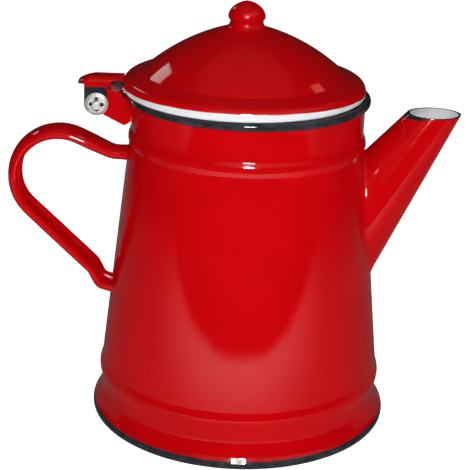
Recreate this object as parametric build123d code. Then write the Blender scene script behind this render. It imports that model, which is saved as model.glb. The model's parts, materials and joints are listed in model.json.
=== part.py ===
from build123d import *
import os
from math import acos, atan2, cos, hypot, radians, sin, sqrt, tan

# Enamelled sheet-steel coffee pot: a conical body, a straight spout, a rolled strip handle and a
# domed lid on a hinge.
# Millimetres. The origin is the centre of the foot on the table and +Z is up. The spout points to
# +X, the handle and the lid hinge are on the -X side. The lid is modelled closed.

# Sheet and fits
SHEET = 0.9               # enamelled steel sheet of the body, spout, bottom and lid
STRIP = 1.1               # thicker strip of the handle, the bracket and the hinge leaf
WELD_GAP = 0.05           # enamel film left between pieces that are welded together
LID_REST_GAP = 0.2        # the closed lid's underside above the crest of the rim
HINGE_SIDE_GAP = 0.35     # leaf ear beside bracket cheek
PIN_SNUG = 0.02           # pin in the leaf's ears and in the push nut, radial
PIN_RUNNING = 0.06        # pin in the bracket's cheeks, radial

# Body, radii measured on the outside of the sheet
RIM_CREST_Z = 155.15      # height of the body
FOOT_R = 70.2
FOOT_BAND_H = 2.4         # upright band above the table
FOOT_BEND = 2.5           # bend from the band into the flare
HEM_W = 3.4               # the foot's edge folded inwards under the bottom disc
HEM_LIP_H = 1.9           # height of the folded edge's upturned lip
HEM_BEND = 0.7
WAIST_Z = 9.8             # end of the foot's flare
WAIST_R = 65.9
WAIST_BEND = 6.0
BEAD_H = 1.0              # how far both pressed beads stand out of the wall
BEAD_CREST_BEND = 5.0     # rounding of a bead's crest
BEAD_SIDE_BEND = 3.0      # rounding where a bead runs into the wall
LOWER_BEAD_Z = 21.2
LOWER_BEAD_HALF = 4.4     # half the height of the lower bead
UPPER_BEAD_DROP = 20.75   # middle of the upper bead below the rim
UPPER_BEAD_HALF = 3.4
CONE_LOW_R = 65.7         # wall just above the lower bead
CONE_TOP_R = 53.9         # wall just below the upper bead
COLLAR_STEP = 0.95        # the collar is this much narrower than the top of the wall
RIM_ROLL_R = 1.65         # outside radius of the rim's outward roll
RIM_ROLL_SHARE = 0.97     # how nearly the rim's section is a full circle

# Bottom disc
BOTTOM_EDGE_GAP = 0.9     # all round between the disc and the inside of the foot
BOTTOM_STEP_R = 58.0      # the middle is pressed up inside this radius
BOTTOM_STEP_H = 1.4
BOTTOM_STEP_BEND = 1.0

# Spout, a straight cone whose mouth is cut level
SPOUT_TILT = 56.0         # axis above the horizontal, degrees
SPOUT_HALF_ANGLE = 8.9    # taper on each side, degrees
SPOUT_REACH = 85.8        # where the axis passes through the mouth, from the pot's axis
SPOUT_MOUTH_DROP = 7.35   # mouth below the rim
SPOUT_MOUTH_R = 10.05     # square to the axis

# Strainer holes through the wall behind the spout
STRAINER_HOLE_R = 2.2
STRAINER_PITCH = 7.6
STRAINER_ROWS = 7

# Handle, a strip rolled to a C section and bent to an ear
HANDLE_W = 16.5
HANDLE_DEPTH = 6.5
HANDLE_SLOT_W = 4.6       # slot between the two rolled edges, on the finger side
HANDLE_TOP_DROP = 10.4    # upper end below the upper bead
HANDLE_STUB = 6.6         # level stretch before the upper end rises
HANDLE_STUB_BEND = 12.5
HANDLE_RISE = 24.6        # slope of the rising stretch, degrees
HANDLE_REACH = 107.1      # lower corner of the ear's back, from the pot's axis
HANDLE_LEAN = 2.1         # the upper corner of the back is this much nearer to the pot
HANDLE_BEND_SHARE = 0.98  # share of the ear's back that its two bends take up
HANDLE_FALL = 43.9        # slope of the lower stretch, degrees
HANDLE_END_Z = 58.9       # where the lower end meets the wall
HANDLE_KNEE = (8.6, 8.8)  # out from the lower end and up, where the strip turns steeply down
HANDLE_HEEL = (5.0, 1.7)  # out from the lower end and up, where it turns in to the wall
HANDLE_KNEE_BEND = 9.0
HANDLE_HEEL_BEND = 5.0

# Lid, about its own axis, which sits back towards the hinge
LID_SETBACK = 2.0
LID_OVERHANG = 1.85       # the lid's edge is this much wider than the collar
LID_H = 31.15             # from the underside to the dome's peak, hidden in the knob
LID_EDGE_H = 4.9          # upright edge, from the underside to the corner with the flange
LID_EDGE_BEND = 2.0
LID_FOLD_BEND = 0.9
LID_DOME_R = 96.0         # radius of the dome's arch
LID_DOME_PAST = 17.9      # middle of that arch beyond the lid's axis, for a pointed dome
LID_FLANGE_SLOPE = 20.3   # flange falls outwards, degrees
LID_CREASE_RUN = 1.0      # the dome is left this far before it meets the flange
LID_CREASE_BEND = 3.0     # hollow bend between dome and flange
LID_SKIRT_GAP = 3.55      # all round between the skirt and the inside of the collar
LID_SKIRT_DEPTH = 6.4     # below the lid's underside

# Knob
KNOB_R = 8.35
KNOB_H = 9.7              # above the dome's peak
KNOB_BALL_H = 7.0         # from its widest place to its top
KNOB_SHOULDER = 0.65      # share of its radius left at seven tenths of that height
KNOB_NECK_R = 7.5
KNOB_NECK_DROP = 1.9      # neck below the widest place
KNOB_FOOT_R = 9.2
KNOB_FLARE_SLOPE = 0.3    # rise of the flare where it leaves the dome

# Hinge
PIN_BACK = 15.35          # pin behind the collar
PIN_DROP = 7.05           # pin below the rim
PIN_R = 1.9
PIN_CHAMFER = 0.3
PIN_HEAD_R = 3.3
PIN_HEAD_T = 1.3
PIN_HEAD_ROUND = 0.85
PIN_TAIL = 2.9            # pin end beyond the push nut
LEAF_W = 12.0
LEAF_RISE = 5.2           # top of the leaf above the lid's underside
LEAF_FOLD_R = 3.5         # outside of the folds along both sides
LEAF_SIDE_H = 4.7         # folded sides, from the leaf's top
LEAF_TIP_BACK = 8.7       # thumb tip behind the pin
LEAF_TIP_RUN = 4.2        # length of the bent-down tip
LEAF_TIP_DROP = 3.0       # thumb tip below the leaf's top
LEAF_TIP_BEND = 14.5
LEAF_CORNER_R = 2.5       # rounded corners of the thumb tip
EAR_R = 5.2               # ear round the pin
EAR_BACK = 0.5            # middle of the ear behind the pin
EAR_BACK_FALL = 1.5       # the ear's back corner below the folds
EAR_WEB_DROP = 8.0        # lower edge of the far side between ear and lid, below the leaf's top
EAR_NOTCH_RUN = 2.5       # notch of the near side between ear and lid
EAR_NOTCH_DROP = 1.65     # top of the notch below the leaf's top
CHEEK_R = 3.5             # bracket cheek round the pin
BRACKET_ROOT_DROP = 15.2  # cheek's lower end at the collar, below the rim
BRACKET_TOE = 2.8         # cheek's lowest corner, out from the collar
BRACKET_TOE_DROP = 17.3   # and below the rim
BRACKET_TOE_ROUND = 2.0
BRACKET_NECK = 3.95       # the arm is cut down under the rim's roll inside this distance
BRACKET_NECK_DROP = 4.15  # top of the cut-down arm below the rim
SHOULDER_RUN = 4.7        # the arm's upper corner in front of the pin
SHOULDER_RISE = 7.0       # and above it
SHOULDER_FALL = 2.9       # the arm's top falls this much towards the pot
NUT_R = 5.25
NUT_T = 0.6
NUT_DISH = 0.7            # the nut's middle stands off the ear by this much
NUT_LOBES = 4
NUT_LOBE_R = 0.95

# Places worked out from the sizes above
MID = SHEET / 2
UPPER_BEAD_Z = RIM_CREST_Z - UPPER_BEAD_DROP
CONE_LOW_Z = LOWER_BEAD_Z + LOWER_BEAD_HALF
CONE_TOP_Z = UPPER_BEAD_Z - UPPER_BEAD_HALF
COLLAR_R = CONE_TOP_R - COLLAR_STEP
CONE_SLOPE = (CONE_LOW_R - CONE_TOP_R) / (CONE_TOP_Z - CONE_LOW_Z)
SPOUT_MOUTH_Z = RIM_CREST_Z - SPOUT_MOUTH_DROP
HANDLE_TOP_Z = UPPER_BEAD_Z - HANDLE_TOP_DROP
LID_R = COLLAR_R + LID_OVERHANG
LID_SKIRT_R = COLLAR_R - SHEET - LID_SKIRT_GAP
LID_UNDER_Z = RIM_CREST_Z + LID_REST_GAP
LID_DOME_TOP_Z = LID_UNDER_Z + LID_H
LID_DOME_MIDDLE_Z = LID_DOME_TOP_Z - sqrt(LID_DOME_R ** 2 - LID_DOME_PAST ** 2)
PIN_X = -COLLAR_R - PIN_BACK
PIN_Z = RIM_CREST_Z - PIN_DROP
LEAF_TOP_Z = LID_UNDER_Z + LEAF_RISE
LEAF_TIP_X = PIN_X - LEAF_TIP_BACK
LEAF_ROOT_X = -LID_SETBACK - LID_SKIRT_R
EAR_BACK_X = PIN_X - EAR_BACK - EAR_R
EAR_FRONT_X = PIN_X - EAR_BACK + EAR_R
BRACKET_W = LEAF_W - 2 * STRIP - 2 * HINGE_SIDE_GAP
NUT_SEAT_Y = -LEAF_W / 2 - WELD_GAP
SPAN = 4 * FOOT_R         # longer than any piece, for cutting tools
ON_BASE = (Align.CENTER, Align.CENTER, Align.MIN)


def wall_r(z):
    """Outside radius of the conical wall at height z."""
    return CONE_LOW_R - CONE_SLOPE * (z - CONE_LOW_Z)


def pressed_sheet(path, thickness):
    """Section of a sheet that follows a path through the middle of its thickness."""
    return make_face(path.wire().offset_2d(thickness / 2))


def turned(section):
    """Solid turned about Z from a section drawn with radius across and height up."""
    return revolve(Plane.XZ * section, Axis.Z)


def filled_cone(gap):
    """Everything inside the conical wall, grown outwards by a gap."""
    low = wall_r(0) + gap
    high = wall_r(RIM_CREST_Z) + gap
    return Pos(0, 0, RIM_CREST_Z / 2) * Cone(low, high, RIM_CREST_Z)


def body_path():
    """Middle of the body's sheet, from the lip of the foot's hem to the end of the rim's roll."""
    foot = FOOT_R - MID
    hem = FOOT_R - HEM_W + MID
    waist = WAIST_R - MID
    collar = COLLAR_R - MID
    roll = RIM_ROLL_R - MID
    roll_out = collar + 2 * roll
    crest = RIM_CREST_Z - MID
    points = [
        (hem, HEM_LIP_H),
        (hem, MID),
        (foot, MID),
        (foot, FOOT_BAND_H),
        (waist, WAIST_Z),
        (waist, LOWER_BEAD_Z - LOWER_BEAD_HALF),
        (wall_r(LOWER_BEAD_Z) + BEAD_H - MID, LOWER_BEAD_Z),
        (wall_r(CONE_LOW_Z) - MID, CONE_LOW_Z),
        (wall_r(CONE_TOP_Z) - MID, CONE_TOP_Z),
        (wall_r(UPPER_BEAD_Z) + BEAD_H - MID, UPPER_BEAD_Z),
        (collar, UPPER_BEAD_Z + UPPER_BEAD_HALF),
        (collar, crest),
        (roll_out, crest),
        (roll_out, crest - 2 * roll),
        (collar + roll, crest - 2 * roll),
    ]
    foot_bends = [HEM_BEND, HEM_BEND, FOOT_BEND, WAIST_BEND]
    bead_bends = [BEAD_SIDE_BEND, BEAD_CREST_BEND, BEAD_SIDE_BEND]
    roll_bends = [RIM_ROLL_SHARE * roll] * 3
    return FilletPolyline(*points, radius=foot_bends + bead_bends + bead_bends + roll_bends)


def strainer_holes():
    """Staggered rows of drills through the wall inside the spout's root."""
    row_step = STRAINER_PITCH * sqrt(3) / 2
    middle_z = SPOUT_MOUTH_Z - (SPOUT_REACH - wall_r(SPOUT_MOUTH_Z)) * tan(radians(SPOUT_TILT))
    drill = Rot(0, 90, 0) * Cylinder(STRAINER_HOLE_R, CONE_LOW_R, align=ON_BASE)
    drills = []
    for row in range(STRAINER_ROWS):
        count = 2 + row % 2
        z = middle_z + (row - (STRAINER_ROWS - 1) / 2) * row_step
        for column in range(count):
            y = (column - (count - 1) / 2) * STRAINER_PITCH
            drills.append(Pos(CONE_TOP_R / 2, y, z) * drill)
    return drills


def body_shell():
    """Body of one sheet: hemmed foot, two beads, collar and rolled rim."""
    shell = turned(pressed_sheet(body_path(), SHEET))
    return shell - strainer_holes()


def bottom_disc():
    """Disc that lies on the hem's lip, with its middle pressed up."""
    low = HEM_LIP_H + MID + WELD_GAP + MID
    high = low + BOTTOM_STEP_H
    edge = FOOT_R - SHEET - BOTTOM_EDGE_GAP - MID
    ramp = BOTTOM_STEP_H + 2 * BOTTOM_STEP_BEND
    points = [(edge, low), (BOTTOM_STEP_R + ramp, low), (BOTTOM_STEP_R, high), (-SHEET, high)]
    path = FilletPolyline(*points, radius=BOTTOM_STEP_BEND)
    half = Pos(FOOT_R / 2, 0) * Rectangle(FOOT_R, SPAN)
    return turned(pressed_sheet(path, SHEET) & half)


def spout_frame():
    """Plane square to the spout's axis at the middle of its mouth."""
    axis = Vector(cos(radians(SPOUT_TILT)), 0, sin(radians(SPOUT_TILT)))
    return Plane((SPOUT_REACH, 0, SPOUT_MOUTH_Z), x_dir=(0, 1, 0), z_dir=axis)


def spout_cone(shrink):
    """Long cone round the spout's axis, taken in by a wall."""
    taper = tan(radians(SPOUT_HALF_ANGLE))
    above = 3 * SPOUT_MOUTH_R
    below = SPOUT_REACH / cos(radians(SPOUT_TILT)) - WAIST_R / 2
    wall = shrink / cos(radians(SPOUT_HALF_ANGLE))
    root_r = SPOUT_MOUTH_R + below * taper - wall
    end_r = SPOUT_MOUTH_R - above * taper - wall
    return spout_frame() * Pos(0, 0, (above - below) / 2) * Cone(root_r, end_r, above + below)


def spout():
    """Conical tube, cut level at the mouth and to the body's wall at the root."""
    tube = spout_cone(0) - spout_cone(SHEET)
    over_mouth = Pos(0, 0, SPOUT_MOUTH_Z + SPAN / 2) * Box(SPAN, SPAN, SPAN)
    return (tube - over_mouth - filled_cone(WELD_GAP)).solids().sort_by(Axis.X)[-1]


def handle_path():
    """Middle of the strip, from inside the upper wall round the ear and into the lower wall."""
    rise = radians(HANDLE_RISE)
    fall = radians(HANDLE_FALL)
    top_x = -wall_r(HANDLE_TOP_Z)
    end_x = -wall_r(HANDLE_END_Z)
    stub_x = top_x - HANDLE_STUB
    upper_x = HANDLE_LEAN - HANDLE_REACH
    upper_z = HANDLE_TOP_Z + (stub_x - upper_x) * tan(rise)
    knee_x = end_x - HANDLE_KNEE[0]
    knee_z = HANDLE_END_Z + HANDLE_KNEE[1]
    lower_z = knee_z + (knee_x + HANDLE_REACH) * tan(fall)
    heel_x = end_x - HANDLE_HEEL[0]
    heel_z = HANDLE_END_Z + HANDLE_HEEL[1]
    lean = atan2(HANDLE_LEAN, upper_z - lower_z)
    turns = tan((radians(90) + rise - lean) / 2) + tan((radians(90) - fall + lean) / 2)
    back_bend = HANDLE_BEND_SHARE * hypot(HANDLE_LEAN, upper_z - lower_z) / turns
    end_fall = HANDLE_HEEL[1] / HANDLE_HEEL[0]
    points = [
        (top_x + HANDLE_DEPTH, HANDLE_TOP_Z),
        (stub_x, HANDLE_TOP_Z),
        (upper_x, upper_z),
        (-HANDLE_REACH, lower_z),
        (knee_x, knee_z),
        (heel_x, heel_z),
        (end_x + HANDLE_DEPTH, HANDLE_END_Z - HANDLE_DEPTH * end_fall),
    ]
    upper_bends = [HANDLE_STUB_BEND, back_bend, back_bend]
    lower_bends = [HANDLE_KNEE_BEND, HANDLE_HEEL_BEND]
    return Plane.XZ * FilletPolyline(*points, radius=upper_bends + lower_bends)


def handle_section():
    """C section: an oval tube slit along the finger side."""
    oval = Ellipse(HANDLE_W / 2, HANDLE_DEPTH / 2)
    hollow = Ellipse(HANDLE_W / 2 - STRIP, HANDLE_DEPTH / 2 - STRIP)
    slit = Pos(0, HANDLE_DEPTH / 2) * Rectangle(HANDLE_SLOT_W, HANDLE_DEPTH)
    return oval - hollow - slit


def handle():
    """Rolled strip bent to an ear, its lower end crooked, cut to the wall at both ends."""
    path = handle_path()
    start = Plane(path @ 0, x_dir=(0, 1, 0), z_dir=path % 0)
    strip = sweep(start * handle_section(), path)
    return (strip - filled_cone(WELD_GAP)).solids().sort_by(Axis.X)[0]


def pin_bore(radius):
    """Drill along the hinge's axis."""
    return Pos(PIN_X, 0, PIN_Z) * Rot(90, 0, 0) * Cylinder(radius, SPAN)


def side_plate(outline, width):
    """Solid as wide as a hinge piece, from an outline in the X-Z plane."""
    return extrude(Plane.XZ * outline, width / 2, both=True)


def bracket_outline():
    """Side view of the bracket: an eye round the pin and an arm that passes under the rim's roll."""
    foot_z = RIM_CREST_Z - BRACKET_ROOT_DROP
    toe_x = -COLLAR_R - BRACKET_TOE
    toe_z = RIM_CREST_Z - BRACKET_TOE_DROP
    neck_z = RIM_CREST_Z - BRACKET_NECK_DROP
    neck_x = -COLLAR_R - BRACKET_NECK
    root_x = -COLLAR_R / 2
    toe_run = toe_x - PIN_X
    toe_fall = toe_z - PIN_Z
    touch = atan2(toe_fall, toe_run) - acos(CHEEK_R / hypot(toe_run, toe_fall))
    shoulder_z = PIN_Z + SHOULDER_RISE
    arm = Polyline(
        (root_x, foot_z),
        (-COLLAR_R, foot_z),
        (toe_x, toe_z),
        (PIN_X + CHEEK_R * cos(touch), PIN_Z + CHEEK_R * sin(touch)),
        (PIN_X, PIN_Z),
        (PIN_X + SHOULDER_RUN, shoulder_z),
        (neck_x, shoulder_z - SHOULDER_FALL),
        (neck_x, neck_z),
        (root_x, neck_z),
        close=True,
    )
    plate = make_face(arm)
    plate = fillet(plate.vertices().sort_by(Axis.Y)[0], BRACKET_TOE_ROUND)
    return Pos(PIN_X, PIN_Z) * Circle(CHEEK_R) + plate


def hinge_bracket():
    """Channel folded from strip: two cheeks that carry the pin and a top, cut to the collar."""
    outline = bracket_outline()
    inside_w = BRACKET_W - 2 * STRIP
    under_top = Pos(0, 0, -STRIP) * side_plate(outline, inside_w)
    behind = Pos(PIN_X + SHOULDER_RUN - SPAN / 2, 0, PIN_Z) * Box(SPAN, inside_w, SPAN)
    collar = Pos(0, 0, PIN_Z) * Cylinder(COLLAR_R + WELD_GAP, SPAN)
    bore = pin_bore(PIN_R + PIN_RUNNING)
    bracket = side_plate(outline, BRACKET_W) - under_top - behind - collar - bore
    return bracket.solids().sort_by(Axis.X)[0]


def leaf_channel():
    """Leaf with both sides folded down and its thumb tip bent down and rounded."""
    middle_z = LEAF_TOP_Z - STRIP / 2
    path = Plane.XZ * FilletPolyline(
        (LEAF_ROOT_X, middle_z),
        (LEAF_TIP_X + LEAF_TIP_RUN, middle_z),
        (LEAF_TIP_X, middle_z - LEAF_TIP_DROP),
        radius=LEAF_TIP_BEND,
    )
    side = LEAF_W / 2 - STRIP / 2
    low = LEAF_SIDE_H - STRIP
    bend = LEAF_FOLD_R - STRIP / 2
    folds = FilletPolyline((-side, low), (-side, 0), (side, 0), (side, low), radius=bend)
    start = Plane(path @ 0, x_dir=(0, 1, 0), z_dir=path % 0)
    corners = Pos(LEAF_TIP_X + SPAN / 2, 0) * RectangleRounded(SPAN, LEAF_W, LEAF_CORNER_R)
    return sweep(start * pressed_sheet(folds, STRIP), path) & extrude(corners, SPAN)


def leaf_ear():
    """Outline of an ear, from the folded side down round the pin."""
    fold_z = LEAF_TOP_Z - LEAF_FOLD_R
    outline = Polyline(
        (EAR_BACK_X, PIN_Z),
        (EAR_FRONT_X, PIN_Z),
        (EAR_FRONT_X, fold_z),
        (PIN_X, fold_z),
        (EAR_BACK_X, fold_z - EAR_BACK_FALL),
        close=True,
    )
    return Pos(PIN_X - EAR_BACK, PIN_Z) * Circle(EAR_R) + make_face(outline)


def upright_box(left, right, low, high):
    """Rectangle in a side view, between two places along X and two heights."""
    return Pos((left + right) / 2, (low + high) / 2) * Rectangle(right - left, high - low)


def leaf_web():
    """Outline of the far side where it runs on from the ear to the lid."""
    return upright_box(PIN_X, LEAF_ROOT_X, LEAF_TOP_Z - EAR_WEB_DROP, LEAF_TOP_Z - LEAF_FOLD_R)


def leaf_notch():
    """Outline cut out of the near side between ear and lid."""
    high = LEAF_TOP_Z - EAR_NOTCH_DROP
    return make_face(Polyline(
        (EAR_FRONT_X, PIN_Z),
        (EAR_FRONT_X, LEAF_TOP_Z - LEAF_SIDE_H),
        (EAR_FRONT_X + EAR_NOTCH_RUN, high),
        (LEAF_ROOT_X, high),
        (LEAF_ROOT_X, PIN_Z),
        close=True,
    ))


def under_thumb_tip():
    """Outline of what is cut off the folded sides behind the ears."""
    tip_z = LEAF_TOP_Z - LEAF_TIP_DROP - STRIP / 2
    return upright_box(LEAF_TIP_X - LEAF_W, EAR_BACK_X, PIN_Z, tip_z)


def lid_hinge_leaf():
    """Folded leaf on the lid's edge with two ears that hang outside the bracket's cheeks."""
    near = Pos(0, STRIP - LEAF_W / 2, 0) * extrude(Plane.XZ * leaf_ear(), STRIP)
    far = Pos(0, LEAF_W / 2, 0) * extrude(Plane.XZ * (leaf_ear() + leaf_web()), STRIP)
    channel = leaf_channel() - extrude(Plane.XZ * leaf_notch(), LEAF_W)
    channel -= side_plate(under_thumb_tip(), SPAN)
    lid = Pos(-LID_SETBACK, 0, PIN_Z) * Cylinder(LID_R + WELD_GAP, SPAN)
    return channel + near + far - lid - pin_bore(PIN_R + PIN_SNUG)


def hinge_pin():
    """Headed pin: the head lies on the far ear and the tail carries the push nut."""
    head_y = LEAF_W / 2 + WELD_GAP
    tail_y = NUT_SEAT_Y - NUT_DISH - NUT_T - PIN_TAIL
    shank = Cylinder(PIN_R, head_y - tail_y, align=ON_BASE)
    shank = chamfer(shank.faces().sort_by(Axis.Z)[-1].edges(), PIN_CHAMFER)
    head = Pos(0, 0, -PIN_HEAD_T) * Cylinder(PIN_HEAD_R, PIN_HEAD_T, align=ON_BASE)
    head = fillet(head.faces().sort_by(Axis.Z)[0].edges(), PIN_HEAD_ROUND)
    return Plane((PIN_X, head_y, PIN_Z), x_dir=(1, 0, 0), z_dir=(0, -1, 0)) * (head + shank)


def push_nut():
    """Dished spring washer whose lobed hole grips the pin's tail."""
    hole_r = PIN_R + PIN_SNUG
    raised_z = NUT_DISH + NUT_T / 2
    path = Polyline(
        (hole_r, raised_z),
        (hole_r + 2 * NUT_LOBE_R, raised_z),
        (NUT_R - NUT_T / 2, NUT_T / 2),
    )
    outside_hole = Pos(hole_r + SPAN / 2, 0) * Rectangle(SPAN, SPAN)
    washer = turned(pressed_sheet(path, NUT_T) & outside_hole)
    for lobe in range(NUT_LOBES):
        place = Rot(0, 0, lobe * 360 / NUT_LOBES) * Pos(hole_r + NUT_LOBE_R / 2, 0, 0)
        washer -= place * Cylinder(NUT_LOBE_R, SPAN)
    return Plane((PIN_X, NUT_SEAT_Y, PIN_Z), x_dir=(1, 0, 0), z_dir=(0, -1, 0)) * washer


def dome_z(radius, shrink):
    """Height of the dome at a radius from the lid's axis, taken in by part of the sheet."""
    return LID_DOME_MIDDLE_Z + sqrt((LID_DOME_R - shrink) ** 2 - (radius + LID_DOME_PAST) ** 2)


def dome_meets_flange(edge_x, corner_z, slope):
    """Radius where the middle of the dome's sheet crosses the flange's line."""
    arch_r = LID_DOME_R - MID
    height = corner_z + (edge_x + LID_DOME_PAST) * slope - LID_DOME_MIDDLE_Z
    square = 1 + slope ** 2
    root = sqrt((height * slope) ** 2 - square * (height ** 2 - arch_r ** 2))
    return (height * slope + root) / square - LID_DOME_PAST


def lid_path():
    """Middle of the lid's sheet: dome, flange, upright edge folded under, and skirt."""
    slope = tan(radians(LID_FLANGE_SLOPE))
    edge_x = LID_R - MID
    corner_z = LID_UNDER_Z + LID_EDGE_H
    fold_z = LID_UNDER_Z + MID
    skirt_x = LID_SKIRT_R - MID
    leave_r = dome_meets_flange(edge_x, corner_z, slope) - LID_CREASE_RUN
    leave_z = dome_z(leave_r, MID)
    dome_slope = (leave_r + LID_DOME_PAST) / (leave_z - LID_DOME_MIDDLE_Z)
    above_flange = leave_z - corner_z - (edge_x - leave_r) * slope
    crease_run = above_flange / (dome_slope - slope)
    dome = RadiusArc((0, dome_z(0, MID)), (leave_r, leave_z), LID_DOME_R - MID)
    rest = FilletPolyline(
        (leave_r, leave_z),
        (leave_r + crease_run, leave_z - crease_run * dome_slope),
        (edge_x, corner_z),
        (edge_x, fold_z),
        (skirt_x, fold_z),
        (skirt_x, LID_UNDER_Z - LID_SKIRT_DEPTH),
        radius=[LID_CREASE_BEND, LID_EDGE_BEND, LID_FOLD_BEND, LID_FOLD_BEND],
    )
    return dome + rest


def lid_shell():
    """Domed lid of one sheet, with the skirt that enters the mouth."""
    half = Pos(LID_R / 2, 0) * Rectangle(LID_R, 2 * SPAN)
    return Pos(-LID_SETBACK, 0, 0) * turned(pressed_sheet(lid_path(), SHEET) & half)


def knob_form(shrink):
    """Filled knob: a tapering ball on a flared neck, taken in by the sheet."""
    wide_z = LID_DOME_TOP_Z + KNOB_H - KNOB_BALL_H
    ball_r = KNOB_R - shrink
    ball_h = KNOB_BALL_H - shrink
    top = (0, wide_z + ball_h)
    shoulder = (ball_r * KNOB_SHOULDER, wide_z + ball_h * 0.7)
    widest = (ball_r, wide_z)
    neck = (KNOB_NECK_R - shrink, wide_z - KNOB_NECK_DROP)
    foot_r = KNOB_FOOT_R - shrink
    foot = (foot_r, dome_z(KNOB_FOOT_R, 0))
    inside_z = LID_UNDER_Z
    flare = Spline(foot, neck, tangents=((-1, KNOB_FLARE_SLOPE), (0, 1)))
    under = Spline(neck, widest, tangents=((0, 1), (0, 1)))
    ball = Spline(widest, shoulder, top, tangents=((0, 1), (-1, 0)))
    sides = Polyline(top, (0, inside_z), (foot_r, inside_z), foot)
    return turned(make_face([*flare.edges(), *under.edges(), *ball.edges(), *sides.edges()]))


def lid_knob():
    """Hollow knob of sheet, cut to the dome it is welded on."""
    arch = Pos(-LID_DOME_PAST, LID_DOME_MIDDLE_Z) * Circle(LID_DOME_R + WELD_GAP)
    half = Pos(SPAN / 2, 0) * Rectangle(SPAN, 2 * SPAN)
    knob = knob_form(0) - knob_form(SHEET) - turned(arch & half)
    return Pos(-LID_SETBACK, 0, 0) * knob


PIECES = {
    "body_shell": body_shell,
    "bottom_disc": bottom_disc,
    "spout": spout,
    "handle": handle,
    "hinge_bracket": hinge_bracket,
    "hinge_pin": hinge_pin,
    "push_nut": push_nut,
    "lid_shell": lid_shell,
    "lid_knob": lid_knob,
    "lid_hinge_leaf": lid_hinge_leaf,
}

os.makedirs("parts", exist_ok=True)
for name, make in PIECES.items():
    export_step(make(), os.path.join("parts", name + ".step"))
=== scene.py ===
import json
import math
import bmesh
import bpy
from mathutils import Matrix, Vector

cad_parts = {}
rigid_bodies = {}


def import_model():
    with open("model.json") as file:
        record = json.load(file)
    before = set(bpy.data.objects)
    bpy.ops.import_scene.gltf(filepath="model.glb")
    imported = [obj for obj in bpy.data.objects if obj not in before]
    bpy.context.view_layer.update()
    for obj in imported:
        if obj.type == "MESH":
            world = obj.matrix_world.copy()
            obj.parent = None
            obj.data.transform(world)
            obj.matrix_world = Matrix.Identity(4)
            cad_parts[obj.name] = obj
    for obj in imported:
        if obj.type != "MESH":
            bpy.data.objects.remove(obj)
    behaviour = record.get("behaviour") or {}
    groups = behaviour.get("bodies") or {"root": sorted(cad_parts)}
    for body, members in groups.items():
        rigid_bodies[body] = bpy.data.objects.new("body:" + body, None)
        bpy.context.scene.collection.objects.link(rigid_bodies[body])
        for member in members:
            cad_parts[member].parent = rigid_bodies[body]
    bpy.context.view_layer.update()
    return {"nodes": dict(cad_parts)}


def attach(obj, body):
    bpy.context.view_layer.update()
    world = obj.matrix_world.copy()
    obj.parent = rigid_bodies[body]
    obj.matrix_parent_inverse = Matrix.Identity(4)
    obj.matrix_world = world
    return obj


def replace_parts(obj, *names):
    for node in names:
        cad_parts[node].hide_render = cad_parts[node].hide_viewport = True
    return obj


# Red enamelled coffee pot with a hinged lid. Metres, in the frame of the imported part: the origin is the
# centre of the foot, the spout points to +X, the handle and the hinge are on the -X side.

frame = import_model()
nodes = frame["nodes"]

MM = 0.001
SHEET = 0.9 * MM            # sheet of the body, spout and lid
STRIP = 1.1 * MM            # strip of the handle and the hinge
LID_AXIS = -2.0 * MM        # the lid sits back towards the hinge
ROUND_STEPS = 192           # facets round the pot
SAME_PLACE = 2e-6           # corners nearer than this are merged
TOUCH = 1e-6                # a corner this near to a place is the one at that place
CORNER_SHARE = 0.49         # a bend takes at most this share of the runs that it joins

# The spout's mouth and lean, which also place the strainer holes
SPOUT_MOUTH, SPOUT_TILT = (85.8, 147.8), math.radians(56)


# Working by hand

def point(x, z, y=0.0):
    """A place given in millimetres, across, up and deep."""
    return Vector((x, y, z)) * MM


def put_down():
    """Back to object mode with nothing selected."""
    if bpy.context.object and bpy.context.object.mode != "OBJECT":
        bpy.ops.object.mode_set(mode="OBJECT")
    bpy.ops.object.select_all(action="DESELECT")


def take_up(piece):
    """Makes one piece the only selected one."""
    put_down()
    piece.select_set(True)
    bpy.context.view_layer.objects.active = piece


def edit(piece):
    """Takes one piece up in edit mode."""
    take_up(piece)
    bpy.ops.object.mode_set(mode="EDIT")
    bpy.ops.mesh.select_mode(type="VERT")


def pick(piece, test):
    """Selects the vertices whose place passes a test."""
    bpy.ops.mesh.select_mode(type="VERT")
    bpy.ops.mesh.select_all(action="DESELECT")
    mesh = bmesh.from_edit_mesh(piece.data)
    for corner in mesh.verts:
        if test(corner.co):
            corner.select_set(True)
    mesh.select_flush_mode()
    bmesh.update_edit_mesh(piece.data)


def start_line(name, place):
    """A new piece that is one loose vertex, in edit mode."""
    put_down()
    bpy.ops.mesh.primitive_plane_add(size=MM, location=(0, 0, 0))
    piece = bpy.context.object
    piece.name = name
    piece.data.name = name
    bpy.ops.object.mode_set(mode="EDIT")
    bpy.ops.mesh.select_mode(type="VERT")
    bpy.ops.mesh.select_all(action="SELECT")
    bpy.ops.mesh.merge(type="CENTER")
    bpy.ops.transform.translate(value=place)
    return piece


def sweep_arc(centre, angle, steps):
    """Carries what is selected round an axis along Y, from up towards +X for a positive angle."""
    bpy.ops.mesh.spin(steps=steps, angle=-angle, center=centre, axis=(0, 1, 0))


def draw_on(places, start):
    """Extrudes the selected vertex through a run of places."""
    for place in places:
        bpy.ops.mesh.extrude_region_move(TRANSFORM_OT_translate={"value": place - start})
        start = place


def round_corner(piece, corner, before, after, bend, segments):
    """Bends a line at a corner to a radius."""
    turn = (corner - before).angle(after - corner)
    room = CORNER_SHARE * min((corner - before).length, (after - corner).length)
    reach = min(bend * MM * math.tan(turn / 2), room)
    pick(piece, lambda co: (co - corner).length < TOUCH)
    bpy.ops.mesh.bevel(offset=reach, segments=segments, affect="VERTICES", profile=0.5)


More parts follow.
